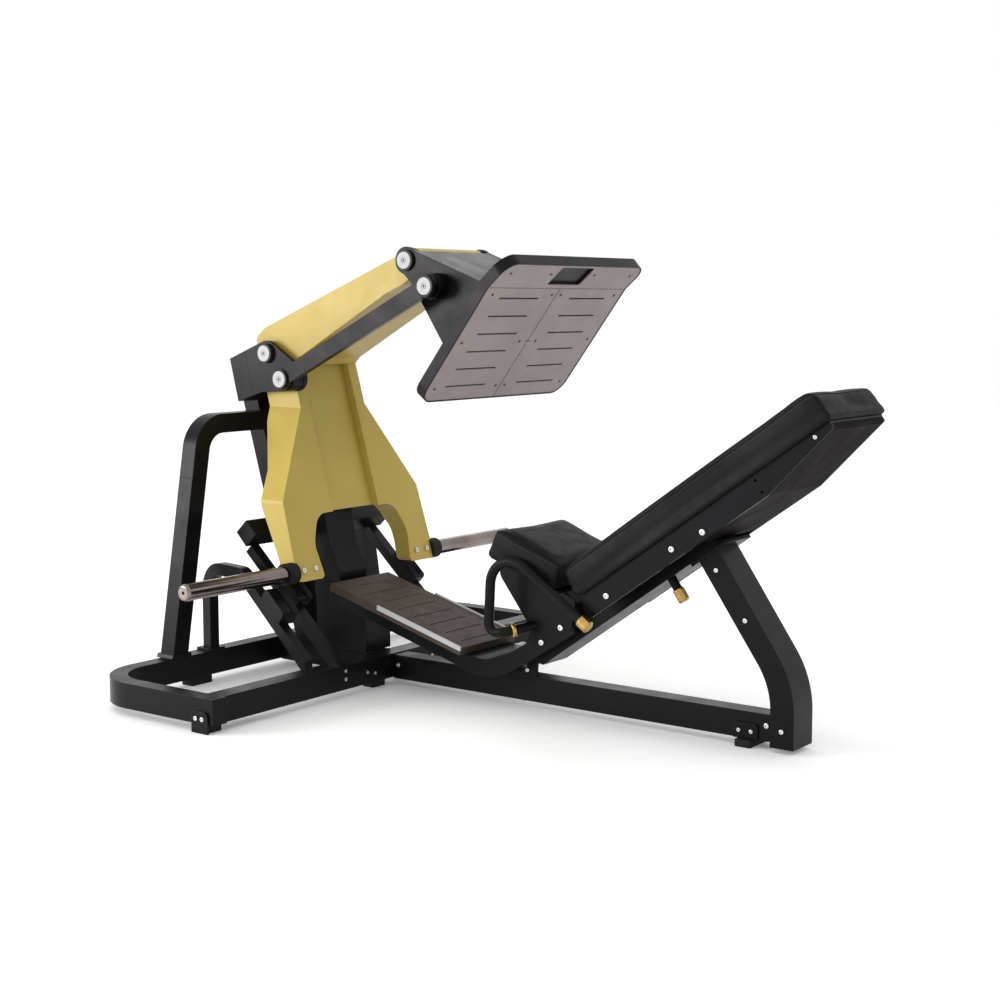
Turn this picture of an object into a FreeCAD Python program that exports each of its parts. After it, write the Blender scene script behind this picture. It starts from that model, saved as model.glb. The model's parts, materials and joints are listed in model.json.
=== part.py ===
import FreeCAD, Part
import math

# Plate-loaded leg press. Sizes in millimetres, +Z up, floor at z = 0.
# Sections are drawn with x measured from the plate-horn axis; SHIFT_X then moves
# every piece so that the origin is the middle of the footprint.
# The seat is at +X, the user faces -X, and y = 0 is the symmetry plane.

SHIFT_X = -608.2

# Base
BASE_HALF_WIDTH = 820.0
BASE_FRONT = -390.0
BASE_BOTTOM = 25.0
BASE_TOP = 100.0
BASE_TUBE = 54.0
BASE_BEND = 190.0
SIDE_RAIL_END = 160.0
CROSS_X = (85.0, 150.0)
RAIL_HALF = 32.0
RAIL_Z = (22.0, 97.0)
POST_X = (1487.0, 1557.0)

# Four-bar linkage: lever, link, head bracket and footplate bracket
P1 = (-239.0, 1039.0)
ARM = (578.0, 282.0)
OFFSET = (122.0, -76.0)
P2 = (P1[0] + OFFSET[0], P1[1] + OFFSET[1])
P3 = (P1[0] + ARM[0], P1[1] + ARM[1])
P4 = (P3[0] + OFFSET[0], P3[1] + OFFSET[1])
PIN_R = 20.0
RUN_CLEARANCE = 0.05
HUB_R = 40.0
CAP_R = 25.0
RING_R = (26.0, 31.0)
LEVER_HALF = 150.0
LEVER_END_R = 37.0
HEAD_PLATE_Y = (165.0, 180.0)
FOOT_PLATE_Y = (170.0, 185.0)
LINK_Y = (-245.0, -225.0)

# Weight horns
HORN_Z = 379.0
HORN_R = 25.0
HORN_Y = (363.0, 773.0)
ARCH_X = (-402.0, -344.0)
COLLAR_R = 33.0

# Footplate
FACE_CENTRE = (645.0, 1084.0)
FACE_UP = (0.6066, 0.7950)
FACE_OUT = (0.7950, -0.6066)
FACE_U = (-211.0, 193.0)
FACE_HALF = 347.0
FACE_THICK = 33.0
HEADER_UP = (0.7590, 0.6511)
HEADER_OUT = (0.6511, -0.7590)
HEADER_LONG = 101.0
HEADER_TURN = math.radians(12.0)
PAD_MARGIN = 5.0
SLOT_PITCH = 62.7
SLOT_Y = (77.0, 265.0)

# Backrest: s runs up along the cushion face, n points out of it
BACK_ORIGIN = (1016.0, 549.0)
BACK_ALONG = (0.8192, 0.5736)
BACK_OUT = (-0.5736, 0.8192)
BACK_S = (-172.0, 770.0)
CUSHION_HALF = 170.0
BACK_THICK = 95.0
RAIL_BAR_HALF = 60.0
RAIL_BAR_N = (-177.0, -102.0)
PIN_S = 57.0
PIN_Y = -30.0

# Hoop of the stop frame
HOOP_CORNER = (-344.0, -345.0)
HOOP_TURN = 10.6

# Foot step
STEP_SLOPE = math.atan2(144.0, 519.0)
STEP_HALF = 139.0

V = FreeCAD.Vector


def corner_points(before, corner, after, radius):
    """Start, middle and end of the arc that rounds one corner."""
    to_before = (before - corner).normalize()
    to_after = (after - corner).normalize()
    half = to_before.getAngle(to_after) / 2.0
    inward = (to_before + to_after).normalize()
    reach = radius / math.tan(half)
    start = corner + to_before * reach
    end = corner + to_after * reach
    middle = corner + inward * (radius / math.sin(half) - radius)
    return start, middle, end


def face(points, place):
    """Face of a closed outline of (a, b) or (a, b, corner radius) points."""
    corners = [V(p[0], p[1], 0) for p in points]
    count = len(points)
    joints = []
    for index in range(count):
        corner = corners[index]
        if len(points[index]) == 3:
            after = corners[(index + 1) % count]
            joints.append(corner_points(corners[index - 1], corner, after, points[index][2]))
        else:
            joints.append((corner, None, corner))
    edges = []
    for index in range(count):
        start, middle, end = joints[index]
        following = joints[(index + 1) % count][0]
        if middle is not None:
            edges.append(Part.Arc(place(start), place(middle), place(end)).toShape())
        if (following - end).Length > 0.001:
            edges.append(Part.makeLine(place(end), place(following)))
    return Part.Face(Part.Wire(edges))


def side(points, y0, y1):
    """Outline in x and z, extruded from y0 to y1."""
    return face(points, lambda p: V(p.x, y0, p.y)).extrude(V(0, y1 - y0, 0))


def front(points, x0, x1):
    """Outline in y and z, extruded from x0 to x1."""
    return face(points, lambda p: V(x0, p.x, p.y)).extrude(V(x1 - x0, 0, 0))


def box(x0, x1, y0, y1, z0, z1):
    return Part.makeBox(x1 - x0, y1 - y0, z1 - z0, V(x0, y0, z0))


def rod(start, end, radius):
    axis = end - start
    return Part.makeCylinder(radius, axis.Length, start, axis)


def rod_y(centre, y0, y1, radius):
    """Cylinder along Y through a point given as (x, z)."""
    return rod(V(centre[0], y0, centre[1]), V(centre[0], y1, centre[1]), radius)


def mirrored(shape):
    return shape.mirror(V(0, 0, 0), V(0, 1, 0))


def both(shape):
    return [shape, mirrored(shape)]


def fused(shapes):
    return shapes[0].multiFuse(shapes[1:]).removeSplitter()


def softened(shape, radius):
    """Every edge of a simple tube or block rounded."""
    return shape.makeFillet(radius, shape.Edges)


def bent_tube(points, radius, bends):
    """Round tube along straight runs, with one bend radius for each inner point."""
    edges = []
    last = points[0]
    for index in range(1, len(points) - 1):
        before, corner, after = points[index - 1:index + 2]
        start, middle, end = corner_points(before, corner, after, bends[index - 1])
        edges.append(Part.makeLine(last, start))
        edges.append(Part.Arc(start, middle, end).toShape())
        last = end
    edges.append(Part.makeLine(last, points[-1]))
    circle = Part.Wire([Part.makeCircle(radius, points[0], points[1] - points[0])])
    return Part.Wire(edges).makePipeShell([circle], True, True)


def back_xz(s, n):
    x = BACK_ORIGIN[0] + BACK_ALONG[0] * s + BACK_OUT[0] * n
    z = BACK_ORIGIN[1] + BACK_ALONG[1] * s + BACK_OUT[1] * n
    return x, z


def back_side(points, y0, y1):
    """Outline in s and n, extruded from y0 to y1."""
    outline = [back_xz(p[0], p[1]) + tuple(p[2:]) for p in points]
    return side(outline, y0, y1)


def back_rod(s, n, y0, y1, radius):
    return rod_y(back_xz(s, n), y0, y1, radius)


def face_xz(u, depth):
    x = FACE_CENTRE[0] + FACE_UP[0] * u - FACE_OUT[0] * depth
    z = FACE_CENTRE[1] + FACE_UP[1] * u - FACE_OUT[1] * depth
    return x, z


def header_xz(u, depth):
    x0, z0 = face_xz(FACE_U[1], 0)
    return x0 + HEADER_UP[0] * u - HEADER_OUT[0] * depth, z0 + HEADER_UP[1] * u - HEADER_OUT[1] * depth


def slab(points, depth0, depth1, to_xz):
    """Outline across and up a sloping face, extruded between two depths behind it."""
    def place(p):
        x, z = to_xz(p.y, depth0)
        return V(x, p.x, z)
    x0, z0 = to_xz(0, depth0)
    x1, z1 = to_xz(0, depth1)
    return face(points, place).extrude(V(x1 - x0, 0, z1 - z0))


def lever_front(z):
    return 127.0 - 0.285 * z


def bolt_head(centre, y_face, outward, radius):
    """Domed socket-head bolt lying against a face that looks along Y."""
    head = rod_y(centre, y_face, y_face + outward * radius * 0.7, radius)
    rim = [e for e in head.Edges if abs(e.CenterOfMass.y - y_face) > radius * 0.6]
    head = head.makeFillet(radius * 0.3, rim[:1])
    socket = rod_y(centre, y_face + outward * radius * 0.35, y_face + outward * radius, radius * 0.42)
    return head.cut(socket)


def cap_disc(centre, y_in, y_out):
    """White cap over a pivot: a disc with a ring groove and a centre dimple."""
    disc = rod_y(centre, y_in, y_out, CAP_R)
    inward = 1 if y_in > y_out else -1
    floor = y_out + inward * 1.2
    groove = rod_y(centre, y_out, floor, 9.5).cut(rod_y(centre, y_out, floor, 7.5))
    return disc.cut(groove).cut(rod_y(centre, y_out, y_out + inward * 5, 4.5))


def save(name, shapes):
    moved = [shape.translated(V(SHIFT_X, 0, 0)) for shape in shapes]
    whole = moved[0] if len(moved) == 1 else Part.makeCompound(moved)
    whole.exportStep("parts/" + name + ".step")


def build_base():
    inner = BASE_HALF_WIDTH - BASE_BEND
    bar_end = BASE_FRONT + BASE_BEND
    bar = box(BASE_FRONT, BASE_FRONT + BASE_TUBE, -inner, inner, BASE_BOTTOM, BASE_TOP)
    save("front_crossbar", [bar])
    outer = Part.makeCylinder(BASE_BEND, BASE_TOP - BASE_BOTTOM, V(bar_end, -inner, BASE_BOTTOM))
    hole = Part.makeCylinder(BASE_BEND - BASE_TUBE, BASE_TOP, V(bar_end, -inner, 0))
    quarter = box(BASE_FRONT, bar_end, -BASE_HALF_WIDTH, -inner, 0, 200)
    bend = outer.cut(hole).common(quarter)
    rail = box(bar_end, SIDE_RAIL_END, -BASE_HALF_WIDTH, BASE_TUBE - BASE_HALF_WIDTH, BASE_BOTTOM, BASE_TOP)
    save("corner_bends", both(bend))
    save("side_rails", both(rail))
    reach = BASE_HALF_WIDTH - BASE_TUBE
    save("cross_beam", [box(CROSS_X[0], CROSS_X[1], -reach, reach, BASE_BOTTOM, BASE_TOP)])
    spine = box(BASE_FRONT + BASE_TUBE, CROSS_X[0], -RAIL_HALF, RAIL_HALF, RAIL_Z[0], RAIL_Z[1])
    rail = box(CROSS_X[1], POST_X[0], -RAIL_HALF, RAIL_HALF, RAIL_Z[0], RAIL_Z[1])
    save("spine_rails", [spine, rail])
    top = RAIL_BAR_N[0]
    post = [back_xz(173, top - 10), (POST_X[0], 179, 220), (POST_X[0], 14), (POST_X[1], 14)]
    post = post + [(POST_X[1], 192, 290), back_xz(242, top - 10)]
    pad_plate = back_side([(150, top), (285, top), (285, top - 10), (150, top - 10)], -64, 64)
    save("rear_post", [side(post, -55, 55), pad_plate])
    foot = softened(box(76, 136, -818, -762, 0, BASE_BOTTOM), 4)
    cap = side([(80, 0), (144, 0), (144, 62, 16), (80, 62, 16)], -826, -820)
    rear_cap = side([(1366, 22), (1440, 22), (1440, 66, 10), (1366, 66, 10)], -38, -RAIL_HALF)
    save("foot_plates", both(cap) + both(rear_cap))
    bolts = []
    for x in (99, 125):
        bolts = bolts + both(bolt_head((x, 42), -826, -1, 7))
    for x in (1384, 1422):
        bolts = bolts + both(bolt_head((x, 44), -38, -1, 6))
    for point in ((1317, 479), (1408, 350), (1522, 62)):
        bolts = bolts + both(bolt_head(point, -55, -1, 7))
    pad = softened(box(88, 132, -110, -50, 0, BASE_BOTTOM), 4)
    inner_foot = softened(box(BASE_FRONT + 4, BASE_FRONT + BASE_TUBE, -432, -346, 0, BASE_BOTTOM), 4)
    rear = softened(box(1378, 1427, -53, 53, 0, RAIL_Z[0]), 4)
    save("rubber_feet", both(foot) + both(pad) + both(inner_foot) + [rear])
    for point in ((1466, 66), (172, 66)):
        bolts = bolts + both(bolt_head(point, -RAIL_HALF, -1, 8))
    for y, z, radius in ((-259, 84, 6), (-259, 58, 6), (-158, 62, 6), (-122, 54, 6)):
        head = rod(V(CROSS_X[1], y, z), V(CROSS_X[1] + radius * 0.7, y, z), radius)
        recess = rod(V(CROSS_X[1] + radius * 0.3, y, z), V(CROSS_X[1] + radius, y, z), radius * 0.45)
        bolts = bolts + both(head.cut(recess))
    save("foot_bolts", bolts)


def build_column():
    leg = [(-503, BASE_TOP), (-441, BASE_TOP), (-346, 655), (-407, 655)]
    cuff = [(-513, BASE_TOP), (-431, BASE_TOP), (-434, 112), (-508, 112)]
    leg_left = front(leg, ARCH_X[0], ARCH_X[1])
    cuff = front(cuff, ARCH_X[0] - 6, ARCH_X[1] + 6).cut(leg_left)
    save("arch_legs", both(leg_left) + both(cuff))
    top = [(-407, 655), (-374, 849, 120), (-65, 849), (-65, 789), (-323, 789, 60), (-346, 655)]
    shoulder = front(top, ARCH_X[0], ARCH_X[1])
    save("arch_shoulders", both(shoulder))
    foot_z = RAIL_Z[1]
    column = [(-232, foot_z), (-167, foot_z), (-398, 888), (-368.4, 888), (-387, 960), (-484, 960)]
    save("column", [side(column, -65, 65)])
    pedestal = [(-148, foot_z), (60, foot_z), (60, 231.4), (-45, 261), (-148, 261)]
    save("pedestal", [side(pedestal, -60, 60)])
    neck = [(-148, 261), (-45, 261), (-44, 306), (-40, 344), (-85, 428, 120)]
    neck = neck + [(-112, 560, 200), (-112, 640), (-325, 640), (-308.5, 584), (-172, 584), (-150, 400, 120)]
    save("neck", [side(neck, -64, 64)])


def build_head():
    def rear(z, off):
        return -402 + (1019 - z) * 0.257 + off

    def layer(off0, off1):
        points = []
        for off in (off0, off1):
            top = 1019 + off * 0.351
            bottom = 883 + off * 0.288
            points.append(((rear(bottom, off), bottom), (rear(top, off), top)))
        return [points[0][0], points[0][1], points[1][1], points[1][0]]
    half = HEAD_PLATE_Y[1]
    spans = ((0, 44), (44, 58), (58, 73))
    save("head_block", [side(layer(span[0], span[1]), -half, half) for span in spans])
    end = layer(0, 73)
    y0, y1 = HEAD_PLATE_Y
    hub = rod_y(P1, y0, y1, HUB_R)
    bore = rod_y(P1, 150, 200, PIN_R)
    outline = [end[2], (-253.4, 1076.3), (-217.8, 1073), (-95.8, 997), (-121, 923.2), (-261, 916), end[3]]
    near = fused([side(outline, y0, y1), hub, rod_y(P2, y0, y1, HUB_R)])
    near = near.cut(bore).cut(rod_y(P2, 150, 200, PIN_R))
    outline = [end[2], (-253.4, 1076.3), (-217.8, 1073), (-201, 1027), (-226, 975, 30), (-261, 916), end[3]]
    far = fused([side(outline, y0, y1), hub]).cut(bore)
    save("head_plates", [mirrored(near), far])
    save("head_shafts", [rod_y(P1, -180, 180, PIN_R), rod_y(P2, -246, -165, PIN_R)])
    ring = rod_y(P1, -192, -180, RING_R[1]).cut(rod_y(P1, -192, -186, RING_R[0]))
    disc = cap_disc(P1, -186, -194)
    rings = both(ring)
    caps = both(disc)
    stud = rod_y(P2, -224.5, -180, 38).cut(rod_y(P2, -224.5, -180, PIN_R))
    save("head_spacer", [stud])
    ring = rod_y(P2, -252, -245.5, RING_R[1]).cut(rod_y(P2, -252, -246, RING_R[0]))
    ring = ring.cut(rod_y(P2, -246, -245, PIN_R))
    save("head_rings", rings + [ring])
    save("head_caps", caps + [cap_disc(P2, -246, -253)])


def build_lever():
    beam = [(-292, 1000), (-313, 1086, 25), (-273, 1118, 30), (318, 1352), (358, 1290), (295, 1250)]
    beam = beam + [(228, 1223), (129, 1168), (-138, 1021), (lever_front(1000), 1000)]
    beam = side(beam, -LEVER_HALF, LEVER_HALF)
    beam = fused([beam, rod_y(P3, -LEVER_HALF, LEVER_HALF, LEVER_END_R)])
    for point in (P1, P3):
        beam = beam.cut(rod_y(point, -200, 200, PIN_R + RUN_CLEARANCE))
    save("lever_beam", [beam])
    outline = [(110, 1000), (150, 1000), (151, 870), (320, 593, 30), (328, 410, 30), (331, 352, 22)]
    outline = outline + [(206, 352, 14), (222, 455, 60), (182, 545, 60), (110, 545)]
    blank = front(outline, -400, 200)
    profile = [(lever_front(1000), 1000), (lever_front(340), 340), (lever_front(340) - 58, 340)]
    for z, depth in ((417, 62), (570, 94), (681, 89), (827, 134), (1000, 134)):
        profile.append((lever_front(z) - depth, z))
    leg = blank.common(side(profile, 100, 340))
    save("lever_legs", both(leg))
    web = [(lever_front(1000) - 25, 1000), (lever_front(545) - 25, 545)]
    web = web + [(lever_front(545) - 37, 545), (lever_front(1000) - 37, 1000)]
    save("lever_web", [side(web, -110, 110)])
    collar = rod_y((0, HORN_Z), -HORN_Y[0], -321, COLLAR_R).cut(leg.fuse(mirrored(leg)))
    save("horn_collars", both(collar))
    horn = rod_y((0, HORN_Z), -HORN_Y[1], -HORN_Y[0], HORN_R)
    horn = horn.makeFillet(9, [e for e in horn.Edges if e.CenterOfMass.y < -HORN_Y[1] + 1][:1])
    horn = horn.cut(rod_y((0, HORN_Z), -HORN_Y[1] - 1, -HORN_Y[1] + 14, 5))
    save("horns", both(horn))
    bolts = []
    for y in (296, 244):
        for sign in (-1, 1):
            base = V(lever_front(385), sign * y, 385)
            out = V(0.9617, 0, 0.2741)
            bolts.append(rod(base, base + out * 6, 8).cut(rod(base + out * 3, base + out * 8, 3.5)))
    save("horn_bolts", bolts)


def build_link():
    run = (P4[0] - P2[0], P4[1] - P2[1])
    length = math.hypot(run[0], run[1])
    nx = -run[1] / length * 25.0
    nz = run[0] / length * 25.0
    outline = [(P2[0] + nx, P2[1] + nz), (P4[0] + nx, P4[1] + nz)]
    outline = outline + [(P4[0] - nx, P4[1] - nz), (P2[0] - nx, P2[1] - nz)]
    bar = side(outline, LINK_Y[0], LINK_Y[1])
    bar = fused([bar, rod_y(P2, LINK_Y[0], LINK_Y[1], 34), rod_y(P4, LINK_Y[0], LINK_Y[1], 34)])
    for point in (P2, P4):
        bar = bar.cut(rod_y(point, -300, -200, PIN_R + RUN_CLEARANCE))
    save("link_bar", [bar])


def build_footplate():
    y0, y1 = FOOT_PLATE_Y
    outline = [(352, 1356), (611, 1259), face_xz(150, FACE_THICK), face_xz(-135, FACE_THICK)]
    outline = outline + [(474, 1084), (362, 1252), (304, 1306), (322, 1355)]
    plate = fused([side(outline, y0, y1), rod_y(P3, y0, y1, HUB_R)])
    plate = plate.cut(rod_y(P3, 150, 200, PIN_R))
    near = plate.cut(rod_y(P4, 150, 200, PIN_R))
    save("foot_brackets", [mirrored(near), plate])
    top = [(371, 1348.5), (611, 1258.6), face_xz(149, FACE_THICK), face_xz(142, FACE_THICK)]
    top = top + [(609, 1253.4), (369.2, 1343.8)]
    save("foot_bracket_cover", [side(top, -y0, y0)])
    save("foot_shafts", [rod_y(P3, -y1, y1, PIN_R), rod_y(P4, -246, -y0, PIN_R)])
    ring = rod_y(P3, -y1 - 9, -y1, RING_R[1]).cut(rod_y(P3, -y1 - 9, -y1 - 4, RING_R[0]))
    rings = both(ring)
    caps = both(cap_disc(P3, -y1 - 4, -y1 - 11))
    save("foot_spacer", [rod_y(P4, -224.5, -y1, 38).cut(rod_y(P4, -224.5, -y1, PIN_R))])
    ring = rod_y(P4, -252, -245.5, RING_R[1]).cut(rod_y(P4, -252, -246, RING_R[0]))
    ring = ring.cut(rod_y(P4, -246, -245, PIN_R))
    save("foot_rings", rings + [ring])
    save("foot_caps", caps + [cap_disc(P4, -246, -253)])
    low, bend = FACE_U
    half = FACE_HALF
    behind = bend + FACE_THICK * math.tan(HEADER_TURN / 2.0)
    profile = [face_xz(low, 0), face_xz(bend, 0), header_xz(HEADER_LONG, 0)]
    profile = profile + [header_xz(HEADER_LONG, FACE_THICK), face_xz(behind, FACE_THICK)]
    tray = side(profile + [face_xz(low, FACE_THICK)], -half, half)
    tray = tray.makeFillet(50, [e for e in tray.Edges if abs(e.Length - FACE_THICK) < 0.1])
    edge = half - PAD_MARGIN
    base = low + PAD_MARGIN
    lower = [(-edge, base, 45), (edge, base, 45), (edge, bend), (-edge, bend)]
    end = HEADER_LONG - PAD_MARGIN
    upper = [(-edge, 0), (edge, 0), (edge, end, 45), (-edge, end, 45)]
    recess = [(-83, 14, 8), (83, 14, 8), (83, 88, 8), (-83, 88, 8)]
    tray = tray.cut(slab(lower, -3, 5, face_xz)).cut(slab(upper, -3, 5, header_xz))
    tray = tray.cut(slab(recess, 4, 10, header_xz))
    save("footplate_tray", [tray])
    pad = slab(lower, 1, 5, face_xz)
    pad = pad.cut(slab([(-400, -400), (2.5, -400), (2.5, 400), (-400, 400)], -1, 10, face_xz))
    pad = pad.cut(slab([(-30, 0.5), (14, 0.5), (14, 3.5), (-30, 3.5)], 0, 6, face_xz))
    for row in range(6):
        u = (row - 2.5) * SLOT_PITCH
        slot = [(SLOT_Y[0], u - 3), (SLOT_Y[1], u - 3), (SLOT_Y[1], u + 3), (SLOT_Y[0], u + 3)]
        pad = pad.cut(slab(slot, 0, 6, face_xz))
    header = slab(upper, 1, 5, header_xz).cut(slab(recess, 0, 6, header_xz))
    save("footplate_pads", both(pad) + [header])
    screws = []
    face_spots = ((305, 170), (22, 170), (313, 2), (40, 2), (310, -163), (22, -163))
    spots = [(y, u, face_xz) for y, u in face_spots]
    spots = spots + [(300, 59, header_xz), (110, 59, header_xz)]
    for y, u, to_xz in spots:
        x0, z0 = to_xz(u, 1)
        x1, z1 = to_xz(u, -0.5)
        screws = screws + both(rod(V(x0, y, z0), V(x1, y, z1), 4))
    save("footplate_screws", screws)


def build_step():
    lean = (math.sin(STEP_SLOPE), math.cos(STEP_SLOPE))
    drop = (-24 * lean[0], -24 * lean[1])
    top = [(-14, 322), (505, 178)]
    outline = top + [(505 + drop[0], 178 + drop[1]), (-14 + drop[0], 322 + drop[1])]
    plate = side(outline, -STEP_HALF, STEP_HALF)
    for index in range(8):
        x = 35 + 62 * index
        z = 322 - (x + 14) * 144.0 / 519.0
        cut = side([(x - 2, z - 5), (x + 2, z - 5), (x + 2, z + 9), (x - 2, z + 9)], -91, 91)
        plate = plate.cut(cut)
    beam = sbeam_solid()
    save("step_plate", [plate.cut(beam)])
    strip = [(181, 273), (181, 259), (505, 169), (505, 183)]
    save("step_strips", both(side(strip, -STEP_HALF - 6, -STEP_HALF)))


def sbeam_solid():
    top = [(-44, 306), (478, 158, 60), (572, 146, 90), (660, 178, 120), (807, 263), (893, 351)]
    bottom = [(876, 257), (772, 186), (660, 118, 120), (560, 86, 120), (470, 116, 60), (-45, 261)]
    return side(top + bottom, -110, 110)


def back_rail_solid():
    low, high = RAIL_BAR_N
    return back_side([(-478, low + 28, 12), (-452, low), (250, low), (250, high), (-430, high)],
                     -RAIL_BAR_HALF, RAIL_BAR_HALF)


def build_seat():
    rail = back_rail_solid()
    slots = side([back_xz(-420, -149), back_xz(200, -149), back_xz(200, -143), back_xz(-420, -143)], 57, 70)
    rail_body = rail.cut(slots).cut(mirrored(slots))
    rail_body = rail_body.cut(box(150, 1480, -200, 200, 0, RAIL_Z[1]))
    tip = back_xz(PIN_S, -140)
    start = back_xz(PIN_S, -230)
    bore = rod(V(start[0], PIN_Y, start[1]), V(tip[0], PIN_Y, tip[1]), 5.05)
    save("back_rail", [rail_body.cut(bore)])
    beam = sbeam_solid().cut(rail).cut(box(-100, 1000, -200, 200, 0, RAIL_Z[1]))
    save("s_beam", [beam])
    foot = box(612, 655, -32, 32, RAIL_Z[1], 160)
    tab = side([(612, RAIL_Z[1]), (704, RAIL_Z[1]), (707, 141), (640, 141)], -32, -24)
    save("rail_foot", [fused([foot, tab]).cut(rail).cut(beam)])
    plate = [(628, 455, 6), (627, 406, 40), (718, 288, 20), (742, 262, 12), (714, 200)]
    plate = plate + [(807, 240), (880, 300), (893, 351), (875, 366), (846, 381)]
    pan = side([(622, 467), (852, 384), (849, 376), (619, 459)], -140, 140)
    save("seat_pan", [pan])
    plate = side(plate, -110, -98).cut(beam).cut(rail).cut(pan)
    save("seat_plates", both(plate))
    bolts = [bolt_head((672, 116), -32, -1, 7)]
    for x, y in ((565, 0), (635, 0), (120, -497), (120, -402)):
        low = RAIL_Z[0] if y == 0 else BASE_BOTTOM
        bolts.append(rod(V(x, y, low), V(x, y, low - 9), 5).fuse(rod(V(x, y, low), V(x, y, low - 13), 3)))
    for point in ((778, 224), (845, 275)):
        bolts = bolts + both(bolt_head(point, -110, -1, 9))
    save("beam_bolts", bolts)
    cushion = [(650, 556, 16), (882, 466, 12), (852, 384, 12), (618, 469, 18)]
    save("seat_cushion", [side(cushion, -CUSHION_HALF, CUSHION_HALF)])
    plug_a = V(963, -190, 323)
    loop_top = V(659, -190, 523)
    plug_b = plug_a + (plug_a - loop_top).normalize() * 37
    arm_corner = V(703, -190, 258)
    arm_end = V(748, -110, 270)
    way = (arm_end - arm_corner).normalize()
    arm_start = arm_corner + way * 19
    path = [plug_a, loop_top, V(645, -190, 246), arm_corner, arm_start]
    loop = bent_tube(path, 14.5, (74, 28, 28))
    save("handles", [loop])
    plug = rod(plug_a, plug_b, 19)
    plug = plug.makeChamfer(4, [plug.Edges[0], plug.Edges[2]])
    collar = rod(arm_start, arm_start + way * 13, 22)
    collar = collar.makeChamfer(3, [collar.Edges[0], collar.Edges[2]])
    save("handle_caps", [plug, collar])
    tube = rod(arm_start + way * 13, arm_end + way * 8, 14).cut(plate)
    tube = tube.cut(box(600, 900, -109, -60, 100, 400))
    save("handle_arms", [tube])


def build_backrest():
    cushion = [(BACK_S[0], 0, 30), (BACK_S[1], 0, 30), (BACK_S[1], -BACK_THICK, 14)]
    cushion = cushion + [(BACK_S[0], -BACK_THICK, 30)]
    save("back_cushion", [back_side(cushion, -CUSHION_HALF, CUSHION_HALF)])
    thick = -BACK_THICK
    board = [(-110, thick), (755, thick), (755, thick - 6), (-110, thick - 6)]
    save("back_board", [back_side(board, -147, 147)])
    outline = [(-166, thick - 3), (-128, thick), (755, thick), (755, -115, 6)]
    outline = outline + [(500, -162, 30), (-166, -162, 8)]
    plate = back_side(outline, -155, -147)
    for s, n in ((493, -110), (493, -146)):
        plate = plate.cut(back_rod(s, n, -160, -140, 4))
    save("back_plates", both(plate))
    end = [(749, thick - 6), (755, thick - 6), (755, -115), (749, -115)]
    cover = [(505, -156), (505, -162), (749, -117), (749, -111)]
    under = [(262, -156), (262, -162), (505, -162), (505, -156)]
    save("back_covers", [back_side(outline, -147, 147) for outline in (end, cover, under)])
    runner = [(-100, thick - 6), (480, thick - 6), (480, -150), (-100, -150)]
    save("back_runners", both(back_side(runner, -74, -60.5)))
    bolts = []
    for s, n in ((-79, -136), (176, -133), (284, -143), (700, -108)):
        bolts = bolts + both(bolt_head(back_xz(s, n), -155, -1, 9 if s < 600 else 6))
    save("back_bolts", bolts)


def build_pull_pin():
    def at(n):
        x, z = back_xz(PIN_S, n)
        return V(x, PIN_Y, z)
    sleeve = rod(at(-207), at(-177), 13).cut(rod(at(-208), at(-176), 5.05))
    save("pin_sleeve", [sleeve])
    grip = rod(at(-249), at(-208), 17)
    grip = grip.makeChamfer(4, [grip.Edges[0], grip.Edges[2]])
    for index in range(12):
        angle = math.radians(30 * index)
        along = V(BACK_ALONG[0], 0, BACK_ALONG[1]) * (17.5 * math.cos(angle))
        offset = along + V(0, 17.5 * math.sin(angle), 0)
        grip = grip.cut(rod(at(-243) + offset, at(-216) + offset, 1.8))
    save("pin_knob", [grip.fuse(rod(at(-208.5), at(-152), 5)).removeSplitter()])


def stop_leg(y_centre, width):
    outline = [(-224, 422), (-203, 443), (164, 100), (121, 100)]
    return side(outline, y_centre - width / 2.0, y_centre + width / 2.0)


def stop_block(low, along, out, y0, y1, thick):
    """Block lying on the upper face of a sloping leg, its lower end at the point low."""
    points = []
    for run, rise, radius in ((0, 0, 1), (0, thick, 10), (112, thick, 10), (112, 0, 1)):
        x = low[0] - along[0] * run + out[0] * rise
        z = low[1] - along[1] * run + out[1] * rise
        points.append((x, z, radius))
    return side(points, y0, y1)


def turned(shape):
    """Plane of the hoop, turned so that its sloping leg lands further out than its upright."""
    return shape.rotated(V(HOOP_CORNER[0], HOOP_CORNER[1], 0), V(0, 0, 1), -HOOP_TURN)


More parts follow.
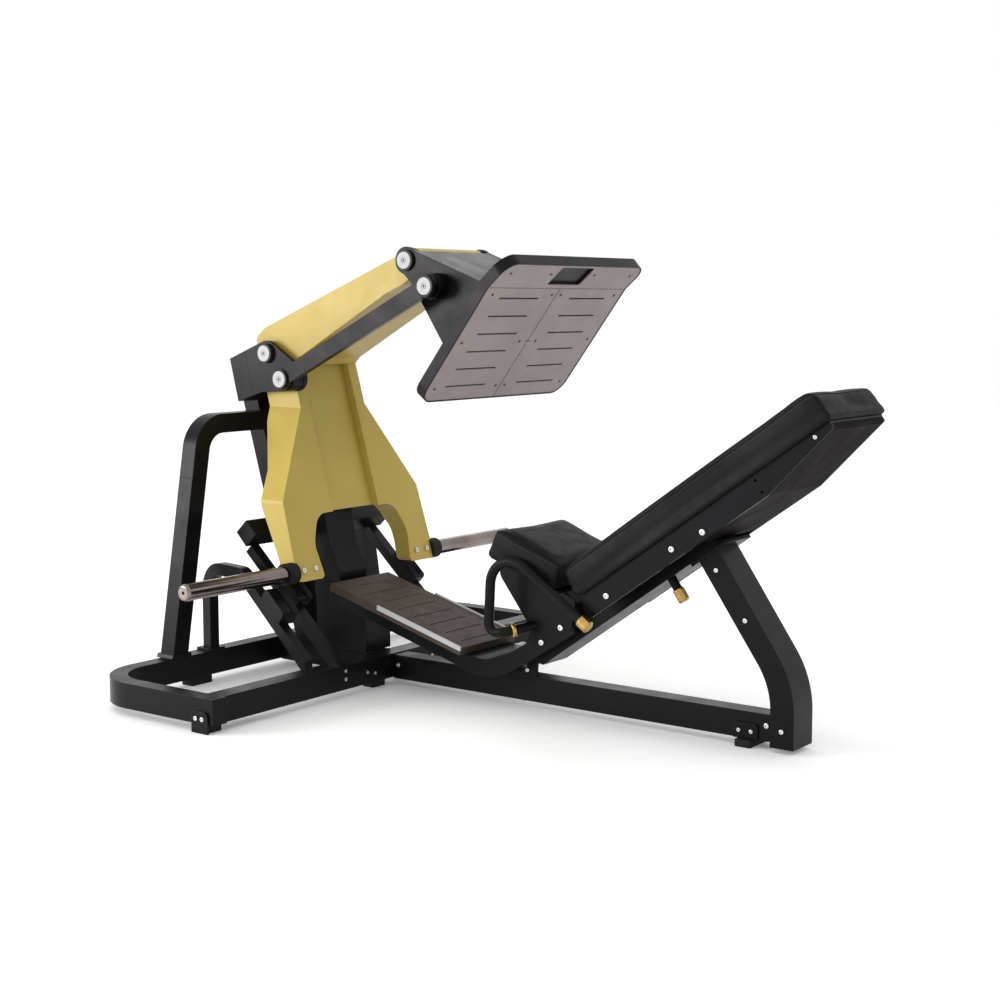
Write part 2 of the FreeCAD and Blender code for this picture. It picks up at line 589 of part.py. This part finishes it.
def build_stops():
    inner = stop_leg(-281, 36).cut(box(0, 400, -400, 0, 0, 100))
    tube = side([(-203, 443), (-243, 485), (-201, 525), (-161, 483)], -320, 320)
    save("stop_tube", [tube])
    inner = inner.cut(tube)
    x, y = HOOP_CORNER
    foot = BASE_TOP + 8
    hoop = side([(x - 40, foot), (x - 40, 386, 95), (x + 176, 386, 60), (x + 560, 100), (x + 504, 100),
                 (x + 166, 348, 24), (x + 2, 348, 55), (x + 2, foot)], y, y + 32)
    hoop = turned(hoop).cut(box(CROSS_X[1] + 2, 400, -900, 0, 0, 300))
    hoop = hoop.cut(box(-500, CROSS_X[1] + 10, -900, 0, 0, BASE_TOP))
    flange = box(BASE_FRONT - 4, BASE_FRONT + BASE_TUBE + 4, y - 12, y + 52, BASE_TOP, foot)
    save("stop_legs", both(inner) + [hoop, flange])
    slope = (0.7306, -0.6829)
    lift = (0.6829, 0.7306)
    block = stop_block((-16, 268.3), slope, lift, -303, -264, 35).cut(inner)
    pad = stop_block((-16, 268.3), slope, lift, -264, -246, 41)
    low = (x + 379, 235)
    slope = (0.7942, -0.6077)
    lift = (0.6077, 0.7942)
    hoop_block = turned(stop_block(low, slope, lift, y - 6, y + 32, 48)).cut(hoop)
    hoop_pad = turned(stop_block(low, slope, lift, y + 32, y + 50, 52))
    save("stop_blocks", both(block) + [hoop_block])
    save("stop_pads", both(pad.cut(inner)) + [hoop_pad.cut(hoop)])


build_base()
build_column()
build_head()
build_lever()
build_link()
build_footplate()
build_step()
build_seat()
build_backrest()
build_pull_pin()
build_stops()
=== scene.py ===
import json
import math

import bmesh
import bpy
import numpy
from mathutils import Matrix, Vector
from mathutils.bvhtree import BVHTree


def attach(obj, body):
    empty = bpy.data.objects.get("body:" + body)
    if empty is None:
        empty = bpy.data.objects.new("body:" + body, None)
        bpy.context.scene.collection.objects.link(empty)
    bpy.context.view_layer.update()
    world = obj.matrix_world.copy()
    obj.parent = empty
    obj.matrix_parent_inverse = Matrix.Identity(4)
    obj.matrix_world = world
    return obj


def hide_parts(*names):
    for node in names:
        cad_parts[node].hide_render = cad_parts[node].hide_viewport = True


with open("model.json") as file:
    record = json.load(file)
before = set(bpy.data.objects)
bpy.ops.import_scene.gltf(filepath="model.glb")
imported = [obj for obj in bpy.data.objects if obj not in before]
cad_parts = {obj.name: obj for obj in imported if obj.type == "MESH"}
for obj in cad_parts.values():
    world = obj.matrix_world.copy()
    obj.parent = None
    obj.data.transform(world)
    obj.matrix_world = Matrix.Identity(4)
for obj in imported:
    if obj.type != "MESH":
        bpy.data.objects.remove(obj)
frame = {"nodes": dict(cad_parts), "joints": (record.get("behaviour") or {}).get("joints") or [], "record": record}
NODES = frame["nodes"]
SCENE = bpy.context.scene


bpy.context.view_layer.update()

# ---------------------------------------------------------------- materials
# lengths are in metres, colours are linear RGB

NOISE_SPAN = (0.3, 0.7)        # the part of a noise value that carries most of its variation
COAT_GRAIN = 0.00005           # depth of the orange peel in a powder coat
COAT_EDGE = 0.0025             # softened edge of a coated tube or plate
MOULD_EDGE = 0.0018            # the same for plastic and rubber
METAL_EDGE = 0.0012            # the same for turned metal
WEAR_AND_HIGHLIGHT_WIDTH = 0.004             # how far rubbing wear and the painted edge highlight reach in from an edge of the coat
DUST_AND_HIGHLIGHT_WIDTH = 0.003
GRIME_WIDTH = 0.002
GRIME = (0.1, 0.09, 0.08)
BEVEL_SAMPLES = 6
BODY_SPECULAR = 0.16
WHITE = (1.0, 1.0, 1.0)


class Shader:
    """A Principled material built up from a few procedural layers in object space."""

    def __init__(self, name, roughness, metallic=0.0, specular=BODY_SPECULAR):
        self.material = bpy.data.materials.new(name)
        self.material.use_nodes = True
        self.tree = self.material.node_tree
        self.bsdf = self.tree.nodes["Principled BSDF"]
        self.bsdf.inputs["Roughness"].default_value = roughness
        self.bsdf.inputs["Metallic"].default_value = metallic
        self.bsdf.inputs["Specular IOR Level"].default_value = specular
        self.space = self.tree.nodes.new("ShaderNodeTexCoord").outputs["Object"]
        self.normal = None

    def node(self, kind, **values):
        made = self.tree.nodes.new(kind)
        for key, value in values.items():
            setattr(made, key, value)
        return made

    def link(self, a, b):
        self.tree.links.new(a, b)

    def stretched(self, scale):
        mapping = self.node("ShaderNodeMapping")
        mapping.inputs["Scale"].default_value = scale
        self.link(self.space, mapping.inputs["Vector"])
        return mapping.outputs["Vector"]

    def noise(self, scale, detail=3.0, roughness=0.5, vector=None):
        made = self.node("ShaderNodeTexNoise")
        made.inputs["Scale"].default_value = scale
        made.inputs["Detail"].default_value = detail
        made.inputs["Roughness"].default_value = roughness
        self.link(vector or self.space, made.inputs["Vector"])
        return made.outputs["Fac"]

    def cells(self, scale, feature="F1", vector=None):
        made = self.node("ShaderNodeTexVoronoi", feature=feature)
        made.inputs["Scale"].default_value = scale
        self.link(vector or self.space, made.inputs["Vector"])
        return made.outputs["Distance"]

    def span(self, value, low, high, out_low, out_high):
        made = self.node("ShaderNodeMapRange")
        self.link(value, made.inputs["Value"])
        made.inputs["From Min"].default_value = low
        made.inputs["From Max"].default_value = high
        made.inputs["To Min"].default_value = out_low
        made.inputs["To Max"].default_value = out_high
        return made.outputs["Result"]

    def cloud(self, scale, detail, out_low=0.0, out_high=1.0, vector=None):
        """Noise stretched over its useful span."""
        return self.span(self.noise(scale, detail, vector=vector), *NOISE_SPAN, out_low, out_high)

    def blend(self, factor, first, second):
        made = self.node("ShaderNodeMix", data_type="RGBA")
        self.link(factor, made.inputs["Factor"])
        for socket, value in ((made.inputs["A"], first), (made.inputs["B"], second)):
            if isinstance(value, tuple):
                socket.default_value = (*value, 1.0)
            else:
                self.link(value, socket)
        return made.outputs["Result"]

    def product(self, a, b):
        made = self.node("ShaderNodeMath", operation="MULTIPLY")
        self.link(a, made.inputs[0])
        if isinstance(b, float):
            made.inputs[1].default_value = b
        else:
            self.link(b, made.inputs[1])
        return made.outputs["Value"]

    def color(self, socket):
        self.link(socket, self.bsdf.inputs["Base Color"])

    def roughen(self, socket):
        self.link(socket, self.bsdf.inputs["Roughness"])

    def soft_edges(self, radius):
        made = self.node("ShaderNodeBevel", samples=BEVEL_SAMPLES)
        made.inputs["Radius"].default_value = radius
        self.normal = made.outputs["Normal"]
        self.link(self.normal, self.bsdf.inputs["Normal"])

    def edge_mask(self, radius, low=0.90, high=0.999):
        """1 on outer edges, 0 on open faces."""
        wide = self.node("ShaderNodeBevel", samples=BEVEL_SAMPLES)
        wide.inputs["Radius"].default_value = radius
        flat = self.node("ShaderNodeNewGeometry")
        dot = self.node("ShaderNodeVectorMath", operation="DOT_PRODUCT")
        self.link(wide.outputs["Normal"], dot.inputs[0])
        self.link(flat.outputs["Normal"], dot.inputs[1])
        return self.span(dot.outputs["Value"], low, high, 1.0, 0.0)

    def bump(self, height, distance, strength=1.0):
        made = self.node("ShaderNodeBump")
        made.inputs["Distance"].default_value = distance
        made.inputs["Strength"].default_value = strength
        self.link(height, made.inputs["Height"])
        if self.normal is not None:
            self.link(self.normal, made.inputs["Normal"])
        self.normal = made.outputs["Normal"]
        self.link(self.normal, self.bsdf.inputs["Normal"])


def powder_coat(name, dark, light, edge, roughness, specular, tint=WHITE):
    """Satin powder coat: cloudy tone, fine orange-peel grain, and lighter edges that are partly rubbing wear and
    partly a painted edge highlight.
    """
    s = Shader(name, roughness, specular=specular)
    s.bsdf.inputs["Specular Tint"].default_value = (*tint, 1.0)
    s.soft_edges(COAT_EDGE)
    base = s.blend(s.cloud(5.0, 4.0), dark, light)
    speck = s.span(s.noise(900.0, 2.0), 0.62, 0.72, 0.0, 0.35)
    base = s.blend(speck, base, edge)
    patches = s.span(s.noise(38.0, 5.0, 0.7), 0.42, 0.62, 0.25, 1.0)
    # lighter colour along the edges: rubbing wear, and a painted edge highlight
    worn_and_highlit = s.product(s.edge_mask(WEAR_AND_HIGHLIGHT_WIDTH), patches)
    base = s.blend(s.product(worn_and_highlit, 0.55), base, edge)
    s.color(base)
    s.roughen(s.cloud(14.0, 5.0, roughness - 0.05, roughness + 0.06))
    s.bump(s.noise(620.0, 2.0), COAT_GRAIN)
    return s.material


def polished_chrome():
    """Chrome with a slight haze, fine turning marks along the horns' axis, and a dark brownish base colour that is
    a painted reflection of dark surroundings.
    """
    s = Shader("chrome", 0.12, 1.0)
    s.soft_edges(0.001)
    # dark brownish colour, varying in tone at random: painted reflection of dark surroundings
    s.color(s.blend(s.cloud(11.0, 4.0), (0.27, 0.232, 0.215), (0.17, 0.142, 0.132)))
    s.roughen(s.cloud(60.0, 4.0, 0.08, 0.2, s.stretched((1.0, 0.05, 1.0))))
    s.bump(s.noise(300.0, 3.0, vector=s.stretched((1.0, 0.02, 1.0))), 0.00002)
    return s.material


def machined(name, light, dark, roughness=0.25):
    """Turned metal: uneven tone, grime along the edges."""
    s = Shader(name, roughness, 1.0)
    s.soft_edges(METAL_EDGE)
    tone = s.span(s.noise(40.0, 4.0), 0.35, 0.65, 0.0, 1.0)
    grime = s.product(s.edge_mask(GRIME_WIDTH), 0.35)
    s.color(s.blend(grime, s.blend(tone, light, dark), GRIME))
    s.roughen(s.cloud(120.0, 3.0, roughness - 0.07, roughness + 0.1))
    s.bump(s.noise(700.0, 2.0), 0.00003)
    return s.material


def moulded(name, base, light, roughness, grain_scale, grain_depth, specular=BODY_SPECULAR):
    """Moulded plastic or rubber: pebbled skin with slow tone change, and lighter edges that are partly dust and
    partly a painted edge highlight.
    """
    s = Shader(name, roughness, specular=specular)
    s.soft_edges(MOULD_EDGE)
    mixed = s.blend(s.cloud(9.0, 5.0), base, light)
    # lighter colour along the edges: dust, and a painted edge highlight
    dust_and_highlight = s.product(s.edge_mask(DUST_AND_HIGHLIGHT_WIDTH), s.span(s.noise(70.0, 4.0), 0.4, 0.65, 0.0, 0.5))
    s.color(s.blend(dust_and_highlight, mixed, tuple(min(1.0, c * 1.5 + 0.02) for c in light)))
    s.roughen(s.cloud(35.0, 4.0, roughness - 0.06, roughness + 0.08))
    s.bump(s.cells(grain_scale), grain_depth)
    return s.material


def vinyl():
    """Black upholstery vinyl: leather-like cells, fine pores, soft wrinkles and light rubbing."""
    s = Shader("vinyl", 0.46, specular=0.08)
    rubbed = s.span(s.noise(2.2, 3.0), 0.5, 0.75, 0.0, 0.5)
    base = s.blend(s.cloud(6.0, 5.0), (0.0055, 0.0055, 0.0068), (0.0095, 0.0094, 0.0110))
    s.color(s.blend(rubbed, base, (0.016, 0.016, 0.018)))
    s.roughen(s.cloud(24.0, 5.0, 0.40, 0.54))
    s.bump(s.cells(420.0, "DISTANCE_TO_EDGE"), 0.00022, 0.7)
    s.bump(s.noise(1500.0, 2.0), 0.00006)
    s.bump(s.noise(16.0, 4.0, 0.6), 0.0012, 0.5)
    return s.material


def thread():
    """Grey sewing thread for the stitches."""
    s = Shader("thread", 0.7)
    s.color(s.blend(s.noise(900.0, 2.0), (0.06, 0.06, 0.065), (0.12, 0.12, 0.125)))
    s.bump(s.noise(1400.0, 2.0), 0.0001)
    return s.material


def floor_surface():
    """White studio floor."""
    s = Shader("floor", 0.55)
    s.color(s.blend(s.noise(1.5, 5.0), (0.985, 0.985, 0.985), WHITE))
    s.roughen(s.cloud(5.0, 5.0, 0.5, 0.62))
    # a faint glow keeps the contact shadows as light as on a lit table
    s.bsdf.inputs["Emission Color"].default_value = (*WHITE, 1.0)
    s.bsdf.inputs["Emission Strength"].default_value = 0.1
    return s.material


# the third colour of each powder coat is used for the specks and for the lighter edges, which are wear plus a
# painted edge highlight
SURFACES = {
    "black_coat": powder_coat("black_coat", (0.0034, 0.0032, 0.0038), (0.0056, 0.0052, 0.0061),
                              (0.018, 0.017, 0.019), 0.32, 0.12, (0.97, 0.93, 1.0)),
    "gold_coat": powder_coat("gold_coat", (0.415, 0.305, 0.054), (0.465, 0.345, 0.068),
                             (0.60, 0.48, 0.20), 0.42, 0.36, (1.0, 0.98, 0.92)),
    "chrome": polished_chrome(),
    "bolt_steel": machined("bolt_steel", (0.78, 0.78, 0.79), (0.6, 0.6, 0.61)),
    "dark_bolt": machined("dark_bolt", (0.05, 0.05, 0.055), (0.03, 0.03, 0.032), 0.4),
    "step_grey": moulded("step_grey", (0.052, 0.038, 0.031), (0.066, 0.049, 0.040), 0.55, 700.0, 0.00012),
    "pad_grey": moulded("pad_grey", (0.262, 0.226, 0.222), (0.308, 0.267, 0.262), 0.55, 700.0, 0.00012),
    "strip_grey": moulded("strip_grey", (0.43, 0.423, 0.41), (0.50, 0.492, 0.48), 0.35, 900.0, 0.00003),
    "white_cap": moulded("white_cap", (0.40, 0.40, 0.405), (0.46, 0.46, 0.465), 0.3, 900.0, 0.00002),
    "ring_grey": moulded("ring_grey", (0.010, 0.010, 0.011), (0.018, 0.018, 0.019), 0.35, 900.0, 0.00003),
    "rubber": moulded("rubber", (0.008, 0.008, 0.0085), (0.014, 0.014, 0.0145), 0.7, 600.0, 0.00015),
    "grip": moulded("grip", (0.008, 0.008, 0.0085), (0.014, 0.014, 0.015), 0.34, 500.0, 0.00006, 0.06),
    "gold_fitting": machined("gold_fitting", (0.58, 0.38, 0.12), (0.46, 0.29, 0.085), 0.28),
    "vinyl": vinyl(),
}
THREAD = thread()

for entry in frame["record"]["subparts"]:
    node = NODES[entry["node"]]
    node.data.materials.clear()
    node.data.materials.append(SURFACES[entry["material_slot"]])

# the sheet covers under the backrest have the same coat, flatter, with a warmer brown colour that is painted shade
# of the underside
UNDERSIDE_PAINTED_SHADE = powder_coat("black_coat_underside_painted_shade", (0.0062, 0.0042, 0.0040), (0.0090, 0.0060, 0.0058),
                        (0.016, 0.012, 0.011), 0.6, 0.03)
for name in ("back_covers", "back_runners"):
    NODES[name].data.materials[0] = UNDERSIDE_PAINTED_SHADE

# ---------------------------------------------------------------- cushions

ALONG = {
    "back_cushion": next(j["axis"] for j in frame["joints"] if j["name"] == "back_slide"),
    "seat_cushion": (0.9387, 0.0, -0.3447),
}
ACROSS = Vector((0.0, 1.0, 0.0))
WELD = 1e-5
VOXEL = 0.006                  # cell of the even mesh that the cloth runs on
SHRINK = 0.0035                # how much smaller the cushion starts
BASE_SHRINK = 0.35             # the part of it that the cushion's base takes
SWELL_CAP = 0.009              # the most that a point may move while it swells
HELD_BELOW = 0.012             # the base stays flat up to this height,
FREE_ABOVE = 0.036             # and the cover swells fully above this one
FRAMES = 20
CLOTH_QUALITY = 5
PRESSURE = 4.0
STIFFNESS = 30.0
BENDING = 1.0
EVEN_ROUNDS = 60
EVEN_SHARE = 0.6
POLISH_ROUNDS = 6
POLISH = 0.5

LOOP_ROUNDS = 3                # averaging that rounds the corners of the seam's path
WELT_GAP = 0.006
WELT_RADIUS = 0.0014
WELT_LIFT = 0.0004
STITCH_DROP = 0.006            # the row of stitches lies this far below the welt
STITCH_GAP = 0.004
STITCH_RADIUS = 0.0005
STITCH_LIFT = 0.0002
BEAD_SIDES = 6


def cushion_axes(node):
    """Along, across and out directions of a cushion that lies in a tilted plane."""
    along = Vector(ALONG[node])
    return along, ACROSS, along.cross(ACROSS).normalized()


def coordinates(mesh):
    return [v.co.copy() for v in mesh.vertices]


def even_out(mesh, moves):
    """The swelling without its small wrinkles: each move averaged with its neighbours' moves."""
    ends = numpy.array([edge.vertices[:] for edge in mesh.edges])
    values = numpy.array([tuple(move) for move in moves])
    count = numpy.zeros(len(values))
    numpy.add.at(count, ends[:, 0], 1.0)
    numpy.add.at(count, ends[:, 1], 1.0)
    for _ in range(EVEN_ROUNDS):
        total = numpy.zeros_like(values)
        numpy.add.at(total, ends[:, 0], values[ends[:, 1]])
        numpy.add.at(total, ends[:, 1], values[ends[:, 0]])
        values = (1.0 - EVEN_SHARE) * values + EVEN_SHARE * total / count[:, None]
    return [Vector(value) for value in values]


def even_mesh(node, name):
    """A new piece with the CAD block's shape on an even grid, and the block's centre."""
    mesh = NODES[node].data.copy()
    build = bmesh.new()
    build.from_mesh(mesh)
    bmesh.ops.remove_doubles(build, verts=build.verts, dist=WELD)
    centre = sum((v.co for v in build.verts), Vector()) / len(build.verts)
    build.to_mesh(mesh)
    build.free()
    piece = bpy.data.objects.new(name, mesh)
    SCENE.collection.objects.link(piece)
    remesh = piece.modifiers.new("remesh", "REMESH")
    remesh.mode = "VOXEL"
    remesh.voxel_size = VOXEL
    graph = bpy.context.evaluated_depsgraph_get()
    mesh = bpy.data.meshes.new_from_object(piece.evaluated_get(graph))
    piece.modifiers.clear()
    piece.data = mesh
    return piece, centre


def swell(piece):
    """Where the piece's points go when cloth pressure blows it up."""
    cloth = piece.modifiers.new("cloth", "CLOTH")
    cloth.settings.quality = CLOTH_QUALITY
    cloth.settings.use_pressure = True
    cloth.settings.uniform_pressure_force = PRESSURE
    cloth.settings.effector_weights.gravity = 0.0
    cloth.settings.tension_stiffness = STIFFNESS
    cloth.settings.compression_stiffness = STIFFNESS
    cloth.settings.bending_stiffness = BENDING
    for number in range(1, FRAMES + 1):
        SCENE.frame_set(number)
    graph = bpy.context.evaluated_depsgraph_get()
    swollen = coordinates(piece.evaluated_get(graph).to_mesh())
    piece.modifiers.clear()
    SCENE.frame_set(1)
    return swollen


def cushion(node, name, body):
    """The CAD cushion block as a stuffed form: an even mesh, swollen by cloth pressure."""
    along, across, out = cushion_axes(node)
    piece, centre = even_mesh(node, name)
    mesh = piece.data
    rest = coordinates(mesh)
    height = [(p - centre).dot(out) for p in rest]
    low, high = min(height), max(height)
    reach = max(abs((p - centre).dot(along)) for p in rest)
    half = max(abs((p - centre).dot(across)) for p in rest)
    # start from a slightly smaller body, so that it swells back to its size
    for vertex, p, h in zip(mesh.vertices, rest, height):
        u = (p - centre).dot(along) / reach
        w = (p - centre).dot(across) / half
        lift = (h - low) / (high - low)
        pull = SHRINK * (BASE_SHRINK + (1.0 - BASE_SHRINK) * lift)
        vertex.co = p - along * (u * pull) - across * (w * pull) - out * (SHRINK * lift)
    start = coordinates(mesh)
    swollen = swell(piece)
    moves = even_out(mesh, [q - p for p, q in zip(start, swollen)])
    for vertex, p, move, h in zip(mesh.vertices, start, moves, height):
        if move.length > SWELL_CAP:
            move = move * (SWELL_CAP / move.length)
        free = (h - low - HELD_BELOW) / (FREE_ABOVE - HELD_BELOW)
        vertex.co = p + move * min(1.0, max(0.0, free))
    polish = piece.modifiers.new("smooth", "SMOOTH")
    polish.iterations = POLISH_ROUNDS
    polish.factor = POLISH
    fine = piece.modifiers.new("subdivide", "SUBSURF")
    fine.levels = 1
    fine.render_levels = 1
    for polygon in mesh.polygons:
        polygon.use_smooth = True
    mesh.materials.clear()
    mesh.materials.append(SURFACES["vinyl"])
    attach(piece, body)
    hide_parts(node)
    return piece


def loop_on(piece, node, drop, gap):
    """Spots and normals around a cushion's upper edge, on its final surface, drop below its top."""
    along, across, out = cushion_axes(node)
    graph = bpy.context.evaluated_depsgraph_get()
    surface = BVHTree.FromObject(piece, graph)
    points = [v.co for v in piece.evaluated_get(graph).data.vertices]
    spans = []
    for axis in (along, across, out):
        reach = [p.dot(axis) for p in points]
        spans.append((min(reach), max(reach)))
    (a0, a1), (c0, c1), (_, top) = spans
    ring = [(a0, c0), (a1, c0), (a1, c1), (a0, c1)]
    path = []
    for index, (a, c) in enumerate(ring):
        a_next, c_next = ring[(index + 1) % 4]
        count = max(2, int(math.hypot(a_next - a, c_next - c) / gap))
        for step in range(count):
            t = step / count
            spot = along * (a + (a_next - a) * t) + across * (c + (c_next - c) * t)
            path.append(surface.find_nearest(spot + out * (top - drop))[0])
    for _ in range(LOOP_ROUNDS):
        following = path[1:] + path[:1]
        path = [(path[i - 1] + path[i] * 2 + following[i]) / 4 for i in range(len(path))]
    return [surface.find_nearest(spot)[:2] for spot in path]


def bead(build, points, radius, closed):
    """A thin tube along points, capped at both ends unless it closes on itself."""
    count = len(points)
    turn = [math.tau * k / BEAD_SIDES for k in range(BEAD_SIDES)]
    rings = []
    for index, point in enumerate(points):
        before = points[index - 1] if closed or index else point
        after = points[(index + 1) % count] if closed or index < count - 1 else point
        way = (after - before).normalized()
        flat = (way.orthogonal() if abs(way.y) > 0.9 else way.cross(ACROSS)).normalized()
        other = way.cross(flat)
        ring = [point + (flat * math.cos(r) + other * math.sin(r)) * radius for r in turn]
        rings.append([build.verts.new(spot) for spot in ring])
    last = count if closed else count - 1
    for index in range(last):
        first, second = rings[index], rings[(index + 1) % count]
        for k in range(BEAD_SIDES):
            beside = (k + 1) % BEAD_SIDES
            build.faces.new((first[k], first[beside], second[beside], second[k]))
    if not closed:
        build.faces.new(reversed(rings[0]))
        build.faces.new(rings[-1])


def sewn(build, name, body, material):
    """The built threads as one piece of the cushion's upholstery."""
    mesh = bpy.data.meshes.new(name)
    bmesh.ops.recalc_face_normals(build, faces=build.faces)
    build.to_mesh(mesh)
    build.free()
    for polygon in mesh.polygons:
        polygon.use_smooth = True
    mesh.materials.append(material)
    made = bpy.data.objects.new(name, mesh)
    SCENE.collection.objects.link(made)
    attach(made, body)


def seam(piece, node, body, drop):
    """Raised welt around the top panel, with a row of stitches just below it."""
    build = bmesh.new()
    laid = loop_on(piece, node, drop, WELT_GAP)
    bead(build, [spot + normal * WELT_LIFT for spot, normal in laid], WELT_RADIUS, True)
    sewn(build, piece.name + "_welt", body, SURFACES["vinyl"])
    build = bmesh.new()
    laid = loop_on(piece, node, drop + STITCH_DROP, STITCH_GAP)
    for index in range(0, len(laid) - 2, 2):
        (first, normal), (last, _) = laid[index], laid[index + 1]
        run = (first, (first + last) / 2, last)
        bead(build, [spot + normal * STITCH_LIFT for spot in run], STITCH_RADIUS, False)
    sewn(build, piece.name + "_stitches", body, THREAD)


seam(cushion("back_cushion", "back_pad", "backrest"), "back_cushion", "backrest", 0.016)
seam(cushion("seat_cushion", "seat_pad", "frame"), "seat_cushion", "frame", 0.014)

# ---------------------------------------------------------------- camera, light and floor

EYE = Vector((2.9566, -4.0526, 1.2002))
AZIMUTH = math.radians(36.687)
TILT = math.radians(6.649)
SENSOR_MM = 36.0
LENS_MM = 61.2
FAR_CLIP = 60.0
FLOOR_HALF = 14.0

camera_data = bpy.data.cameras.new("camera")
camera_data.sensor_width = SENSOR_MM
camera_data.lens = LENS_MM
camera_data.clip_end = FAR_CLIP
camera = bpy.data.objects.new("camera", camera_data)
SCENE.collection.objects.link(camera)
camera.location = EYE
camera.rotation_euler = (math.pi / 2 - TILT, 0.0, AZIMUTH)
SCENE.camera = camera

floor_mesh = bpy.data.meshes.new("floor")
floor_corners = [(x * FLOOR_HALF, y * FLOOR_HALF, 0.0) for x, y in ((-1, -1), (1, -1), (1, 1), (-1, 1))]
floor_mesh.from_pydata(floor_corners, [], [(0, 1, 2, 3)])
floor_mesh.materials.append(floor_surface())
floor = bpy.data.objects.new("floor", floor_mesh)
SCENE.collection.objects.link(floor)


def softbox(name, place, target, size, power, tint=WHITE):
    """A rectangular lamp at place, aimed at target, size in metres and power in watts."""
    data = bpy.data.lights.new(name, "AREA")
    data.shape = "RECTANGLE"
    data.size, data.size_y = size
    data.energy = power
    data.color = tint
    lamp = bpy.data.objects.new(name, data)
    SCENE.collection.objects.link(lamp)
    lamp.location = place
    aim = Vector(target) - Vector(place)
    lamp.rotation_euler = aim.to_track_quat("-Z", "Y").to_euler()


softbox("key", (-3.8, -4.0, 1.6), (0.0, 0.0, 0.9), (2.8, 1.6), 170.0, (1.0, 0.985, 0.96))
softbox("top", (0.3, 0.2, 4.6), (0.0, 0.0, 0.5), (4.0, 4.0), 8.0)
softbox("fill", (5.0, -1.6, 1.9), (0.1, 0.0, 0.7), (2.2, 2.6), 8.0, (1.0, 0.98, 0.97))
softbox("rim", (-3.0, 4.0, 2.6), (0.0, 0.0, 0.7), (2.5, 2.5), 12.0)

world = bpy.data.worlds.new("world")
world.use_nodes = True
world.node_tree.nodes["Background"].inputs["Color"].default_value = (*WHITE, 1.0)
world.node_tree.nodes["Background"].inputs["Strength"].default_value = 1.0
SCENE.world = world
SCENE.view_settings.view_transform = "Standard"
